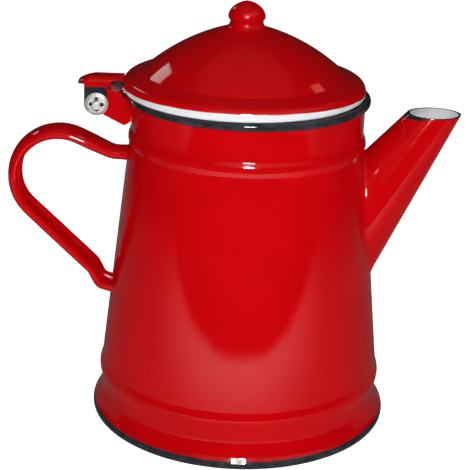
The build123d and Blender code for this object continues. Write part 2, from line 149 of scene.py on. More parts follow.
def round_corners(piece, line, segments=8):
    """Bends every corner of a line given as (across, up, bend)."""
    places = [point(x, z) for x, z, bend in line]
    for i in range(1, len(line) - 1):
        if line[i][2]:
            round_corner(piece, places[i], places[i - 1], places[i + 1], line[i][2], segments)


def shift_line(line, across):
    return [(x + across, z, bend) for x, z, bend in line]


def turn_on_lathe(axis_x):
    """Spins the drawn line once round an upright axis and closes the seam."""
    bpy.ops.mesh.select_all(action="SELECT")
    bpy.ops.mesh.spin(steps=ROUND_STEPS, angle=2 * math.pi, center=(axis_x, 0, 0), axis=(0, 0, 1))
    bpy.ops.mesh.select_all(action="SELECT")
    bpy.ops.mesh.remove_doubles(threshold=SAME_PLACE)
    bpy.ops.mesh.normals_make_consistent(inside=False)


def face_outwards(piece, test, outward):
    """Turns the sheet's faces round if the first face that passes a test looks the wrong way."""
    bpy.ops.mesh.select_all(action="SELECT")
    mesh = bmesh.from_edit_mesh(piece.data)
    for face in mesh.faces:
        middle = face.calc_center_median()
        if test(middle):
            if face.normal.dot(outward(middle)) < 0:
                bpy.ops.mesh.flip_normals()
            break


def apply_modifier(piece, kind, **settings):
    take_up(piece)
    modifier = piece.modifiers.new(kind.lower(), kind)
    for key, value in settings.items():
        setattr(modifier, key, value)
    bpy.ops.object.modifier_apply(modifier=modifier.name)


def thicken(piece, thickness, offset=0.0, inner_slot=0, rim_slot=0):
    """Gives a surface the thickness of its sheet."""
    apply_modifier(piece, "SOLIDIFY", thickness=thickness, offset=offset, use_even_offset=True,
                   use_quality_normals=True, material_offset=inner_slot, material_offset_rim=rim_slot)


def mark_weld(piece):
    """Marks the selected end of a piece as the one that is welded on."""
    bpy.ops.object.vertex_group_assign_new()
    piece.vertex_groups[-1].name = "weld"


def lay_weld(piece, onto, gap):
    """Lays the marked end on another piece; a negative gap sinks it in."""
    apply_modifier(piece, "SHRINKWRAP", target=onto, vertex_group="weld", wrap_method="NEAREST_SURFACEPOINT",
                   wrap_mode="ON_SURFACE", offset=gap)


def smooth(piece, degrees=40):
    take_up(piece)
    bpy.ops.object.shade_smooth_by_angle(angle=math.radians(degrees))


def wear(piece, *finishes):
    """Gives a piece its finishes, in slot order."""
    piece.data.materials.clear()
    for finish in finishes:
        piece.data.materials.append(finish)


# Finishes

def add(tree, kind, **settings):
    """A node with its settings; keys that name an input socket fill that socket."""
    made = tree.nodes.new(kind)
    for key, value in settings.items():
        if hasattr(made, key):
            setattr(made, key, value)
        else:
            made.inputs[key.replace("_", " ")].default_value = value
    return made


def new_finish(name):
    """A fresh finish: its material, its node tree and its shader."""
    material = bpy.data.materials.new(name)
    material.use_nodes = True
    tree = material.node_tree
    return material, tree, tree.nodes["Principled BSDF"]


def new_group(name, inputs, outputs):
    """An empty shader group with number and vector sockets."""
    group = bpy.data.node_groups.new(name, "ShaderNodeTree")
    kinds = {"value": "NodeSocketFloat", "vector": "NodeSocketVector"}
    for label, kind, default in inputs:
        made = group.interface.new_socket(label, in_out="INPUT", socket_type=kinds[kind])
        made.default_value = default
    for label, kind in outputs:
        group.interface.new_socket(label, in_out="OUTPUT", socket_type=kinds[kind])
    return group, group.nodes.new("NodeGroupInput"), group.nodes.new("NodeGroupOutput")


def math_node(tree, operation, a, b=None, c=None, clamp=False):
    made = tree.nodes.new("ShaderNodeMath")
    made.operation = operation
    made.use_clamp = clamp
    for socket, value in zip(made.inputs, (a, b, c)):
        if value is None:
            continue
        if isinstance(value, (int, float)):
            socket.default_value = value
        else:
            tree.links.new(value, socket)
    return made.outputs[0]


def blend_colour(tree, mask, a, b):
    """Colour a where the mask is 0, colour b where it is 1."""
    made = tree.nodes.new("ShaderNodeMix")
    made.data_type = "RGBA"
    for socket, value in ((made.inputs[0], mask), (made.inputs[6], a), (made.inputs[7], b)):
        if isinstance(value, (int, float, tuple)):
            socket.default_value = value
        else:
            tree.links.new(value, socket)
    return made.outputs[2]


def ramp_node(tree, source, low, high):
    """0 below low, 1 above high, smooth between."""
    made = tree.nodes.new("ShaderNodeMapRange")
    made.interpolation_type = "SMOOTHSTEP"
    made.inputs["From Min"].default_value = low
    made.inputs["From Max"].default_value = high
    tree.links.new(source, made.inputs["Value"])
    return made.outputs["Result"]


def noise_node(tree, place, scale, detail=2.0, roughness=0.5):
    made = add(tree, "ShaderNodeTexNoise", Scale=scale, Detail=detail, Roughness=roughness)
    tree.links.new(place, made.inputs["Vector"])
    return made.outputs["Fac"]


def make_fired_glass():
    """Flow of the fired enamel: slow waves and fine orange peel for the bump, and cloudy tone."""
    peel_height = 0.16
    group, given, out = new_group("fired_glass", [("Waves", "value", 1.0)],
                                  [("Height", "value"), ("Tone", "value"), ("Haze", "value")])
    place = add(group, "ShaderNodeTexCoord").outputs["Object"]
    waves = noise_node(group, place, scale=75.0, detail=1.0)
    peel = noise_node(group, place, scale=520.0)
    tone = noise_node(group, place, scale=38.0, detail=3.0)
    haze = noise_node(group, place, scale=210.0, detail=3.0, roughness=0.6)
    slow = math_node(group, "MULTIPLY", waves, given.outputs["Waves"])
    fine = math_node(group, "MULTIPLY", peel, peel_height)
    group.links.new(math_node(group, "ADD", slow, fine), out.inputs["Height"])
    group.links.new(ramp_node(group, tone, 0.3, 0.7), out.inputs["Tone"])
    group.links.new(ramp_node(group, haze, 0.35, 0.7), out.inputs["Haze"])
    return group


def make_pinholes():
    """Sparse pinholes and dust specks fired into the enamel."""
    group, given, out = new_group("pinholes", [("Scale", "value", 160.0), ("Size", "value", 0.08)],
                                  [("Mask", "value")])
    place = add(group, "ShaderNodeTexCoord").outputs["Object"]
    cells = add(group, "ShaderNodeTexVoronoi")
    group.links.new(place, cells.inputs["Vector"])
    group.links.new(given.outputs["Scale"], cells.inputs["Scale"])
    few = noise_node(group, place, scale=24.0)
    reach = math_node(group, "MULTIPLY", ramp_node(group, few, 0.52, 0.72), given.outputs["Size"])
    near = math_node(group, "SUBTRACT", reach, cells.outputs["Distance"])
    soft = 0.03
    group.links.new(ramp_node(group, near, 0.0, soft), out.inputs["Mask"])
    return group


def make_dip_line():
    """Mask that is 1 past a level, with the wandering edge of a dipped or brushed coat."""
    group, given, out = new_group(
        "dip_line", [("Along", "vector", (0, 0, 1)), ("Level", "value", 0.0), ("Soft", "value", 0.0003),
                     ("Wander", "value", 0.0006)], [("Mask", "value")])
    place = add(group, "ShaderNodeTexCoord").outputs["Object"]
    reach = add(group, "ShaderNodeVectorMath", operation="DOT_PRODUCT")
    group.links.new(place, reach.inputs[0])
    group.links.new(given.outputs["Along"], reach.inputs[1])
    drift = math_node(group, "SUBTRACT", noise_node(group, place, scale=95.0, detail=3.0), 0.5)
    drift = math_node(group, "MULTIPLY", drift, given.outputs["Wander"])
    height = math_node(group, "ADD", reach.outputs["Value"], drift)
    above = math_node(group, "SUBTRACT", height, given.outputs["Level"])
    part = math_node(group, "DIVIDE", above, given.outputs["Soft"])
    group.links.new(math_node(group, "ADD", part, 0.5, clamp=True), out.inputs["Mask"])
    return group


TO_HANDLE = (-1, 0, 0)
FIRED_GLASS = make_fired_glass()
PINHOLES = make_pinholes()
DIP_LINE = make_dip_line()

RED_BRIGHT = (0.650, 0.0009, 0.0036, 1)
RED_DEEP = (0.610, 0.0008, 0.0030, 1)
SLATE = (0.020, 0.022, 0.027, 1)
SLATE_PALE = (0.042, 0.045, 0.054, 1)
PORCELAIN = (0.97, 0.98, 0.985, 1)
PORCELAIN_COOL = (0.91, 0.935, 0.955, 1)
RED_SPECK = (0.20, 0.002, 0.004, 1)
GREY_SPECK = (0.16, 0.15, 0.14, 1)
BROWN_SPECK = (0.09, 0.075, 0.06, 1)
ENAMEL_IOR = 1.52
CLEAR_ROUGH, HAZE_ROUGH = 0.040, 0.030      # roughness of clear enamel, and what haze adds


class Enamel:
    """One enamelled finish, built up coat by coat."""

    def __init__(self, name, pale, deep, waves=1.0):
        self.material, self.tree, self.shader = new_finish(name)
        self.shader.inputs["IOR"].default_value = ENAMEL_IOR
        self.glass = self.group(FIRED_GLASS, Waves=waves)
        self.colour = blend_colour(self.tree, self.glass.outputs["Tone"], deep, pale)
        self.rough = math_node(self.tree, "MULTIPLY_ADD", self.glass.outputs["Haze"], HAZE_ROUGH, CLEAR_ROUGH)
        dent = add(self.tree, "ShaderNodeBump", Strength=0.12, Distance=0.00012)
        self.tree.links.new(self.glass.outputs["Height"], dent.inputs["Height"])
        self.tree.links.new(dent.outputs[0], self.shader.inputs["Normal"])

    def group(self, group, **values):
        """Places a shader group with its own values."""
        made = self.tree.nodes.new("ShaderNodeGroup")
        made.node_tree = group
        for key, value in values.items():
            made.inputs[key].default_value = value
        return made

    def specks(self, scale, size, colour):
        mask = self.group(PINHOLES, Scale=scale, Size=size).outputs["Mask"]
        self.colour = blend_colour(self.tree, mask, self.colour, colour)
        return self

    def coat(self, mask, pale, deep):
        """Lays another colour where a mask is 1."""
        colour = blend_colour(self.tree, self.glass.outputs["Haze"], deep, pale)
        self.colour = blend_colour(self.tree, mask, self.colour, colour)
        return self

    def slate(self, mask):
        return self.coat(mask, SLATE_PALE, SLATE)

    def past(self, level, along, wander, soft):
        """Mask past a level along a direction, in millimetres."""
        return self.group(DIP_LINE, Along=along, Level=level * MM, Wander=wander * MM,
                          Soft=soft * MM).outputs["Mask"]

    def above(self, level, wander, soft):
        return self.past(level, (0, 0, 1), wander, soft)

    def below(self, level, wander, soft, lean=0.0):
        return self.past(-level, (0, -lean, -1), wander, soft)

    def done(self):
        self.tree.links.new(self.colour, self.shader.inputs["Base Color"])
        self.tree.links.new(self.rough, self.shader.inputs["Roughness"])
        return self.material


def pot_outside():
    coat = Enamel("pot_outside_enamel", RED_BRIGHT, RED_DEEP)
    coat.specks(190.0, 0.07, RED_SPECK)
    coat.slate(coat.below(3.7, wander=0.9, soft=0.35))
    coat.slate(coat.above(151.2, wander=0.8, soft=0.3))
    return coat.done()


def pot_inside():
    coat = Enamel("pot_inside_enamel", PORCELAIN, PORCELAIN_COOL)
    coat.specks(150.0, 0.08, GREY_SPECK)
    coat.slate(coat.below(1.6, wander=0.5, soft=0.3))
    coat.slate(coat.above(150.6, wander=1.2, soft=0.4))
    return coat.done()


def lid_outside():
    coat = Enamel("lid_outside_enamel", RED_BRIGHT, RED_DEEP, waves=0.7)
    coat.specks(190.0, 0.08, RED_SPECK)
    coat.coat(coat.below(157.0, wander=0.5, soft=0.35, lean=0.037), PORCELAIN, PORCELAIN_COOL)
    return coat.done()


def lid_inside():
    coat = Enamel("lid_inside_enamel", PORCELAIN, PORCELAIN_COOL)
    coat.specks(150.0, 0.08, GREY_SPECK)
    return coat.done()


def red_all_over():
    return Enamel("red_enamel", RED_BRIGHT, RED_DEEP).specks(200.0, 0.08, RED_SPECK).done()


def spout_outside():
    coat = Enamel("spout_outside_enamel", RED_BRIGHT, RED_DEEP)
    coat.specks(200.0, 0.07, RED_SPECK)
    coat.slate(coat.above(147.5, wander=0.3, soft=0.2))
    back_lip = math_node(coat.tree, "MULTIPLY", coat.above(146.3, wander=0.5, soft=0.3),
                         coat.past(-80.0, TO_HANDLE, wander=0.5, soft=5.0))
    coat.slate(back_lip)
    return coat.done()


def spout_inside():
    coat = Enamel("spout_inside_enamel", PORCELAIN, PORCELAIN_COOL)
    coat.slate(coat.above(147.65, wander=0.2, soft=0.15))
    return coat.done()


def leaf_enamel():
    coat = Enamel("leaf_enamel", RED_BRIGHT, RED_DEEP)
    coat.slate(coat.below(156.0, wander=0.9, soft=0.35))
    coat.slate(coat.past(75.2, TO_HANDLE, wander=0.9, soft=1.4))
    return coat.done()


def cut_edge():
    """Dark ground coat that shows on sheared edges."""
    return Enamel("cut_edge_enamel", SLATE_PALE, SLATE).done()


def bottom_underside():
    coat = Enamel("bottom_underside_enamel", SLATE_PALE, SLATE)
    coat.specks(120.0, 0.10, BROWN_SPECK)
    return coat.done()


def plated_steel():
    """Zinc-plated spring steel: fine brushing, a green-grey cast and dull stains."""
    material, tree, shader = new_finish("plated_steel")
    shader.inputs["Metallic"].default_value = 0.5
    place = add(tree, "ShaderNodeTexCoord").outputs["Object"]
    clean, dull = (0.74, 0.77, 0.70, 1), (0.55, 0.58, 0.51, 1)
    smoothest, brushing = 0.34, 0.20
    cloud = noise_node(tree, place, scale=420.0, detail=3.0)
    grain = noise_node(tree, place, scale=2600.0)
    stain = ramp_node(tree, cloud, 0.35, 0.75)
    tree.links.new(blend_colour(tree, stain, clean, dull), shader.inputs["Base Color"])
    tree.links.new(math_node(tree, "MULTIPLY_ADD", grain, brushing, smoothest), shader.inputs["Roughness"])
    dent = add(tree, "ShaderNodeBump", Strength=0.12, Distance=0.00005)
    tree.links.new(grain, dent.inputs["Height"])
    tree.links.new(dent.outputs[0], shader.inputs["Normal"])
    return material


POT_OUTSIDE = pot_outside()
POT_INSIDE = pot_inside()
LID_OUTSIDE = lid_outside()
LID_INSIDE = lid_inside()
RED = red_all_over()
SPOUT_OUTSIDE = spout_outside()
SPOUT_INSIDE = spout_inside()
LEAF = leaf_enamel()
CUT_EDGE = cut_edge()
BOTTOM_UNDER = bottom_underside()
STEEL = plated_steel()


# Body

# Half sections are given as (across, up, bend), in millimetres
BODY_LINE = [
    (67.25, 1.9, 0), (67.25, 0.45, 0.7), (69.75, 0.45, 0.7), (69.75, 2.4, 1.4), (68.1, 4.9, 5.0),
    (65.45, 11.4, 7.0), (65.45, 16.8, 3.0), (66.74, 21.2, 5.0), (65.25, 25.6, 3.0),
    (53.45, 131.0, 3.0), (54.07, 134.4, 5.0), (52.5, 137.8, 3.0),
    (52.5, 154.7, 1.16), (54.9, 154.7, 1.16), (54.9, 152.3, 1.16), (53.7, 152.3, 0),
]
WALL_FOOT_R, WALL_FOOT_Z, WALL_SLOPE = 65.7, 25.6, 0.11195
WALL_LOW, WALL_HIGH = 50.0 * MM, 120.0 * MM     # plain stretch of the wall
HOLE_R, HOLE_PITCH, HOLE_ROWS, HOLE_STEPS = 2.2, 7.6, 7, 28
DRILL_LENGTH = 30.0 * MM


def wall_r(z):
    """Outside radius of the conical wall, in millimetres."""
    return WALL_FOOT_R - WALL_SLOPE * (z - WALL_FOOT_Z)


def make_pot():
    places = [point(x, z) for x, z, bend in BODY_LINE]
    pot = start_line("pot_body", places[0])
    draw_on(places[1:], places[0])
    round_corners(pot, BODY_LINE)
    turn_on_lathe(0.0)
    face_outwards(pot, lambda m: WALL_LOW < m.z < WALL_HIGH, lambda m: Vector((m.x, m.y, 0)))
    put_down()
    wear(pot, POT_OUTSIDE, POT_INSIDE)
    thicken(pot, SHEET, 0.0, inner_slot=1, rim_slot=1)
    drill_strainer(pot)
    smooth(pot)
    return pot


def drill_strainer(pot):
    """Staggered drain holes through the wall behind the spout."""
    mouth_x, mouth_z = SPOUT_MOUTH
    middle_z = mouth_z - (mouth_x - wall_r(mouth_z)) * math.tan(SPOUT_TILT)
    drills = []
    for row in range(HOLE_ROWS):
        count = 2 + row % 2
        z = middle_z + (row - (HOLE_ROWS - 1) / 2) * HOLE_PITCH * math.sqrt(3) / 2
        for column in range(count):
            put_down()
            y = (column - (count - 1) / 2) * HOLE_PITCH
            bpy.ops.mesh.primitive_cylinder_add(vertices=HOLE_STEPS, radius=HOLE_R * MM, depth=DRILL_LENGTH,
                                                location=point(wall_r(z), z, y),
                                                rotation=(0, math.pi / 2, 0))
            drills.append(bpy.context.object)
    put_down()
    for drill in drills:
        drill.select_set(True)
    bpy.context.view_layer.objects.active = drills[0]
    bpy.ops.object.join()
    cutter = bpy.context.object
    wear(cutter, POT_INSIDE)
    apply_modifier(pot, "BOOLEAN", operation="DIFFERENCE", object=cutter, solver="EXACT")
    bpy.data.objects.remove(cutter)


# Lid and knob

LID_EDGE_LINE = [
    (44.78, 164.30, 0), (45.81, 163.41, 3.0), (54.35, 160.25, 3.3), (54.35, 155.8, 0.9),
    (48.05, 155.8, 0.9), (48.05, 148.95, 0),
]
# The dome is an arc whose centre lies past the lid's axis, which points it at the top
DOME_PAST, DOME_MIDDLE, DOME_R, DOME_STEPS = 17.9, 92.184, 95.55, 24
DOME_HIGH = 175.0 * MM      # only the dome lies above this


def make_lid():
    steep_in, steep_out = (math.asin((DOME_PAST + r) / DOME_R) for r in (0, LID_EDGE_LINE[0][0]))
    centre = Vector((LID_AXIS - DOME_PAST * MM, 0, DOME_MIDDLE * MM))
    lid = start_line("lid", Vector((LID_AXIS, 0, (DOME_MIDDLE + DOME_R * math.cos(steep_in)) * MM)))
    sweep_arc(centre, steep_out - steep_in, DOME_STEPS)
    mesh = bmesh.from_edit_mesh(lid.data)
    last = [v for v in mesh.verts if v.select][0].co.copy()
    line = shift_line([((last.x - LID_AXIS) / MM, last.z / MM, 0)] + LID_EDGE_LINE[1:], LID_AXIS / MM)
    places = [point(x, z) for x, z, bend in line]
    draw_on(places[1:], last)
    round_corners(lid, line)
    turn_on_lathe(LID_AXIS)
    face_outwards(lid, lambda m: m.z > DOME_HIGH, lambda m: Vector((0, 0, 1)))
    put_down()
    wear(lid, LID_OUTSIDE, LID_INSIDE)
    thicken(lid, SHEET, 0.0, inner_slot=1, rim_slot=1)
    smooth(lid)
    return lid


KNOB_NECK_LINE = [
    (8.35, 189.2, 0), (8.35, 188.5, 1.6), (7.5, 187.55, 1.6), (7.5, 186.4, 3.0), (8.1, 185.1, 3.0),
    (9.2, 184.33, 0),
]
KNOB_MIDDLE, KNOB_R, KNOB_HEIGHT, KNOB_STEPS = 189.2, 8.35, 7.0, 24
KNOB_POINT = 1.28           # above 1 the ball tapers towards its top
KNOB_HIGH = 194.0 * MM      # only the ball's top lies above this


def make_knob():
    ball = []
    for step in range(KNOB_STEPS + 1):
        lift = math.radians(90 - 90 * step / KNOB_STEPS)
        across = KNOB_R * math.cos(lift) ** KNOB_POINT if step else 0.0
        ball.append(point(LID_AXIS / MM + across, KNOB_MIDDLE + KNOB_HEIGHT * math.sin(lift)))
    knob = start_line("lid_knob_ball", ball[0])
    draw_on(ball[1:], ball[0])
    line = shift_line(KNOB_NECK_LINE, LID_AXIS / MM)
    places = [point(x, z) for x, z, bend in line]
    draw_on(places[1:], places[0])
    round_corners(knob, line, 6)
    turn_on_lathe(LID_AXIS)
    face_outwards(knob, lambda m: m.z > KNOB_HIGH, lambda m: Vector((0, 0, 1)))
    put_down()
    wear(knob, RED)
    thicken(knob, SHEET, -1.0)
    smooth(knob)
    return knob


# Spout

SPOUT_MOUTH_R, SPOUT_TAPER = 10.05, math.tan(math.radians(8.9))
SPOUT_ABOVE, SPOUT_BELOW = 14.0, 108.0      # reach of the raw cone past its mouth and below it
SPOUT_RAW_Z = 150.5         # the tube is left long here until its wall is thick
SPOUT_STEPS, SPOUT_RINGS, SLIDE_HALVINGS = 80, 14, 40
ON_WALL = 2e-5              # a corner this near to the body's wall lies on it
WELD_MIDDLE, WELD_SPREAD = (57.0, 104.0), (1.0, 1.16, 1.07)
WELD_GAP, MOUTH_ROUNDING = 0.04 * MM, 0.25 * MM


def make_spout(pot):
    axis = Vector((math.cos(SPOUT_TILT), 0, math.sin(SPOUT_TILT)))
    mouth = point(*SPOUT_MOUTH)
    start_r = (SPOUT_MOUTH_R - SPOUT_ABOVE * SPOUT_TAPER) * MM
    root_r = (SPOUT_MOUTH_R + SPOUT_BELOW * SPOUT_TAPER) * MM
    put_down()
    bpy.ops.mesh.primitive_circle_add(vertices=SPOUT_STEPS, radius=start_r,
                                      location=mouth + axis * SPOUT_ABOVE * MM,
                                      rotation=(0, math.pi / 2 - SPOUT_TILT, 0))
    spout = bpy.context.object
    spout.name = "spout_tube"
    bpy.ops.object.transform_apply(location=True, rotation=True, scale=True)
    bpy.ops.object.mode_set(mode="EDIT")
    bpy.ops.mesh.select_all(action="SELECT")
    length = (SPOUT_ABOVE + SPOUT_BELOW) * MM
    bpy.ops.mesh.extrude_region_move(TRANSFORM_OT_translate={"value": -axis * length})
    root = mouth - axis * SPOUT_BELOW * MM
    bpy.ops.transform.resize(value=(root_r / start_r,) * 3, center_override=root)
    bpy.ops.mesh.select_all(action="SELECT")
    bpy.ops.mesh.bisect(plane_co=point(0, SPOUT_RAW_Z), plane_no=(0, 0, 1), clear_outer=True)
    slide_root_to_wall(spout)
    bpy.ops.mesh.select_all(action="SELECT")
    bpy.ops.mesh.normals_make_consistent(inside=False)
    flare_root(spout, pot)
    cut_mouth(spout)
    return spout


def on_raw_end(co):
    return abs(co.z - SPOUT_RAW_Z * MM) < TOUCH


def on_wall(co):
    return abs(math.hypot(co.x, co.y) - wall_r(co.z / MM) * MM) < ON_WALL


def slide_root_to_wall(spout):
    """Slides each root corner up its own line on the cone until it lies on the body's wall."""
    mesh = bmesh.from_edit_mesh(spout.data)
    pairs = []
    for edge in mesh.edges:
        ends = sorted(edge.verts, key=lambda v: -v.co.z)
        if on_raw_end(ends[0].co) and not on_raw_end(ends[1].co):
            pairs.append((ends[0].co.copy(), ends[1].co.copy()))
    for start, end in pairs:
        low, high = 0.0, 1.0
        for step in range(SLIDE_HALVINGS):
            part = (low + high) / 2
            place = start.lerp(end, part)
            if math.hypot(place.x, place.y) > wall_r(place.z / MM) * MM:
                low = part
            else:
                high = part
        pick(spout, lambda co: (co - end).length < TOUCH)
        bpy.ops.transform.translate(value=start.lerp(end, low) - end)


def flare_root(spout, pot):
    """Rings along the tube, then a weld flare that runs out on the wall."""
    bpy.ops.mesh.select_mode(type="EDGE")
    bpy.ops.mesh.select_all(action="DESELECT")
    mesh = bmesh.from_edit_mesh(spout.data)
    for edge in mesh.edges:
        tops = [on_raw_end(v.co) for v in edge.verts]
        edge.select_set(tops[0] != tops[1])
    bmesh.update_edit_mesh(spout.data)
    bpy.ops.mesh.subdivide(number_cuts=SPOUT_RINGS)
    pick(spout, on_wall)
    bpy.ops.mesh.extrude_region_move(TRANSFORM_OT_translate={"value": (0, 0, 0)})
    bpy.ops.transform.resize(value=WELD_SPREAD, center_override=point(*WELD_MIDDLE))
    mark_weld(spout)
    put_down()
    lay_weld(spout, pot, WELD_GAP)
    apply_modifier(spout, "SUBSURF", levels=2, render_levels=2)


def cut_mouth(spout):
    """Gives the tube its wall, cuts it level at the mouth and closes the cut."""
    wear(spout, SPOUT_OUTSIDE, SPOUT_INSIDE)
    thicken(spout, SHEET, -1.0, inner_slot=1, rim_slot=0)
    edit(spout)
    bpy.ops.mesh.select_all(action="SELECT")
    bpy.ops.mesh.bisect(plane_co=point(*SPOUT_MOUTH), plane_no=(0, 0, 1), clear_outer=True)
    bpy.ops.mesh.bridge_edge_loops()
    bpy.ops.mesh.select_all(action="SELECT")
    bpy.ops.mesh.normals_make_consistent(inside=False)
    put_down()
    apply_modifier(spout, "BEVEL", width=MOUTH_ROUNDING, segments=3, limit_method="ANGLE",
                   angle_limit=math.radians(60))
    smooth(spout, 50)


# Handle

# The strip's middle line as (across, up, bend), and its width at distances along it
HANDLE_PATH = [
    (-54.0, 124.0, 0), (-61.28, 124.0, 12.5), (-105.0, 144.02, 20.9), (-107.1, 102.85, 20.9),
    (-70.57, 67.7, 6.5), (-66.97, 60.6, 3.7), (-61.9, 58.88, 0),
]
HANDLE_WIDTHS = [
    (0.0, 14.0), (1.6, 12.0), (4.0, 11.2), (9.0, 12.5), (18.0, 16.0), (30.0, 16.6), (75.0, 16.4),
    (95.0, 18.4), (128.0, 18.4), (142.0, 17.0), (152.0, 18.5),
]
HANDLE_DEPTH, HANDLE_SLOT, HANDLE_STEPS = 6.5, 9.8, 56
HANDLE_CURL, HANDLE_CURL_STEPS = math.radians(150), 7       # roll of the strip's two long edges
HANDLE_RUN, HANDLE_TURN = 3.0 * MM, math.radians(6)         # between rings, straight on and in a bend
HANDLE_WELD_DEPTH = 0.3 * MM
HANDLE_BACK = -108.0 * MM   # only the outside of the ear lies past this


def read_off(table, along):
    """Value at a distance along a piece, between the rows of a table."""
    for (a, low), (b, high) in zip(table, table[1:]):
        if along <= b:
            return low + (high - low) * max(0.0, along - a) / (b - a)
    return table[-1][1]


class Strip:
    """The handle's rolled strip, pushed on ring by ring along its bends."""

    def __init__(self, middle, width):
        self.middle, self.width, self.along = middle, width, 0.0

    def size_ring(self, length):
        """Gives the newest ring its width, after a length of strip."""
        self.along += length / MM
        width = read_off(HANDLE_WIDTHS, self.along)
        bpy.ops.transform.resize(value=(1, width / self.width, 1), center_override=self.middle)
        self.width = width

    def push(self, place):
        """Straight on to a place."""
        run = place - self.middle
        steps = max(1, round(run.length / HANDLE_RUN))
        for step in range(steps):
            bpy.ops.mesh.extrude_region_move(TRANSFORM_OT_translate={"value": run / steps})
            self.middle = self.middle + run / steps
            self.size_ring(run.length / steps)

    def bend(self, centre, angle):
        """Round a centre by an angle."""
        steps = max(2, round(abs(angle) / HANDLE_TURN))
        turn = Matrix.Rotation(angle / steps, 3, "Y")
        for step in range(steps):
            sweep_arc(centre, angle / steps, 1)
            self.middle = centre + turn @ (self.middle - centre)
            self.size_ring(abs(angle) / steps * (self.middle - centre).length)


def make_handle(pot):
    put_down()
    start = point(*HANDLE_PATH[0][:2])
    bpy.ops.mesh.primitive_circle_add(vertices=HANDLE_STEPS, radius=MM, location=start,
                                      rotation=(0, math.pi / 2, 0))
    handle = bpy.context.object
    handle.name = "handle_strip"
    bpy.ops.object.transform_apply(location=True, rotation=True, scale=True)
    bpy.ops.object.mode_set(mode="EDIT")
    width = HANDLE_WIDTHS[0][1]
    bpy.ops.mesh.select_all(action="SELECT")
    half_depth = (HANDLE_DEPTH - STRIP / MM) / 2
    bpy.ops.transform.resize(value=(1, (width - STRIP / MM) / 2, half_depth), center_override=start)
    pick(handle, lambda co: abs(co.y) < HANDLE_SLOT / 2 * MM and co.z < start.z)
    bpy.ops.mesh.delete(type="VERT")
    lip_y = min(abs(v.co.y) for v in bmesh.from_edit_mesh(handle.data).verts if v.co.z < start.z)
    for side in (1, -1):
        pick(handle, lambda co: co.z < start.z and abs(co.y - side * lip_y) < TOUCH)
        bpy.ops.mesh.spin(steps=HANDLE_CURL_STEPS, angle=side * HANDLE_CURL,
                          center=(start.x, side * lip_y, start.z), axis=(1, 0, 0))
    bpy.ops.mesh.select_all(action="SELECT")
    strip = Strip(start, width)
    places = [point(x, z) for x, z, bend in HANDLE_PATH]
    for i in range(1, len(places) - 1):
        come = (places[i] - places[i - 1]).normalized()
        go = (places[i + 1] - places[i]).normalized()
        turn = -math.atan2(come.x * go.z - come.z * go.x, come.dot(go))
        bend = HANDLE_PATH[i][2] * MM
        reach = bend * math.tan(abs(turn) / 2)
        strip.push(places[i] - come * reach)
        side = (go - come).normalized()
        strip.bend(places[i] + side * bend / math.cos(turn / 2), turn)
    strip.push(places[-1])
    mark_weld(handle)
    bpy.ops.mesh.select_all(action="SELECT")
    bpy.ops.mesh.remove_doubles(threshold=SAME_PLACE)
    bpy.ops.mesh.normals_make_consistent(inside=False)
    face_outwards(handle, lambda m: m.x < HANDLE_BACK, lambda m: Vector((-1, 0, 0)))
    put_down()
    lay_weld(handle, pot, -HANDLE_WELD_DEPTH)
    wear(handle, RED)
    thicken(handle, STRIP, 0.0)
    smooth(handle, 50)
    return handle


# Bottom and hinge

BOTTOM_LINE = [(67.95, 2.85, 0), (61.4, 2.85, 1.0), (58.0, 4.25, 1.0), (0.0, 4.25, 0)]


def make_bottom():
    places = [point(x, z) for x, z, bend in BOTTOM_LINE]
    bottom = start_line("pot_bottom", places[0])
    draw_on(places[1:], places[0])
    round_corners(bottom, BOTTOM_LINE, 5)
    turn_on_lathe(0.0)
    face_outwards(bottom, lambda m: True, lambda m: Vector((0, 0, -1)))
    put_down()
    wear(bottom, BOTTOM_UNDER, POT_INSIDE)
    thicken(bottom, SHEET, 0.0, inner_slot=1)
    smooth(bottom)
    return bottom


def rounded_copy(node, name, width, *finishes):
    """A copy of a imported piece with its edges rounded; the roundings wear the last finish."""
    take_up(nodes[node])
    bpy.ops.object.duplicate()
    piece = bpy.context.object
    piece.name = name
    bpy.ops.object.parent_clear(type="CLEAR_KEEP_TRANSFORM")
    for key in list(piece.keys()):
        del piece[key]
    bpy.ops.object.mode_set(mode="EDIT")
    bpy.ops.mesh.select_all(action="SELECT")
    bpy.ops.mesh.remove_doubles(threshold=SAME_PLACE)
    bpy.ops.mesh.dissolve_limited(angle_limit=math.radians(1.0))
    put_down()
    wear(piece, *finishes)
    apply_modifier(piece, "BEVEL", width=width * MM, segments=3, limit_method="ANGLE",
                   angle_limit=math.radians(38), material=len(finishes) - 1)
    smooth(piece, 45)
    apply_modifier(piece, "WEIGHTED_NORMAL", keep_sharp=True, weight=100)
    return piece


def settle(piece, node, body):
    """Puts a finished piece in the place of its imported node."""
    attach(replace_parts(piece, node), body)
    return piece


pot = settle(make_pot(), "body_shell", "pot")
settle(make_spout(pot), "spout", "pot")
settle(make_handle(pot), "handle", "pot")
settle(make_bottom(), "bottom_disc", "pot")
settle(make_lid(), "lid_shell", "lid")
settle(make_knob(), "lid_knob", "lid")
settle(rounded_copy("hinge_bracket", "bracket", 0.3, RED), "hinge_bracket", "pot")
settle(rounded_copy("lid_hinge_leaf", "leaf", 0.3, LEAF, CUT_EDGE), "lid_hinge_leaf", "lid")
settle(rounded_copy("hinge_pin", "pin", 0.12, STEEL), "hinge_pin", "lid")
settle(rounded_copy("push_nut", "nut", 0.1, STEEL), "push_nut", "lid")


# Floor, light and camera

FLOOR_WHITE, FLOOR_GLOW, FLOOR_SEEN = (0.90, 0.90, 0.90, 1), 0.42, 0.50


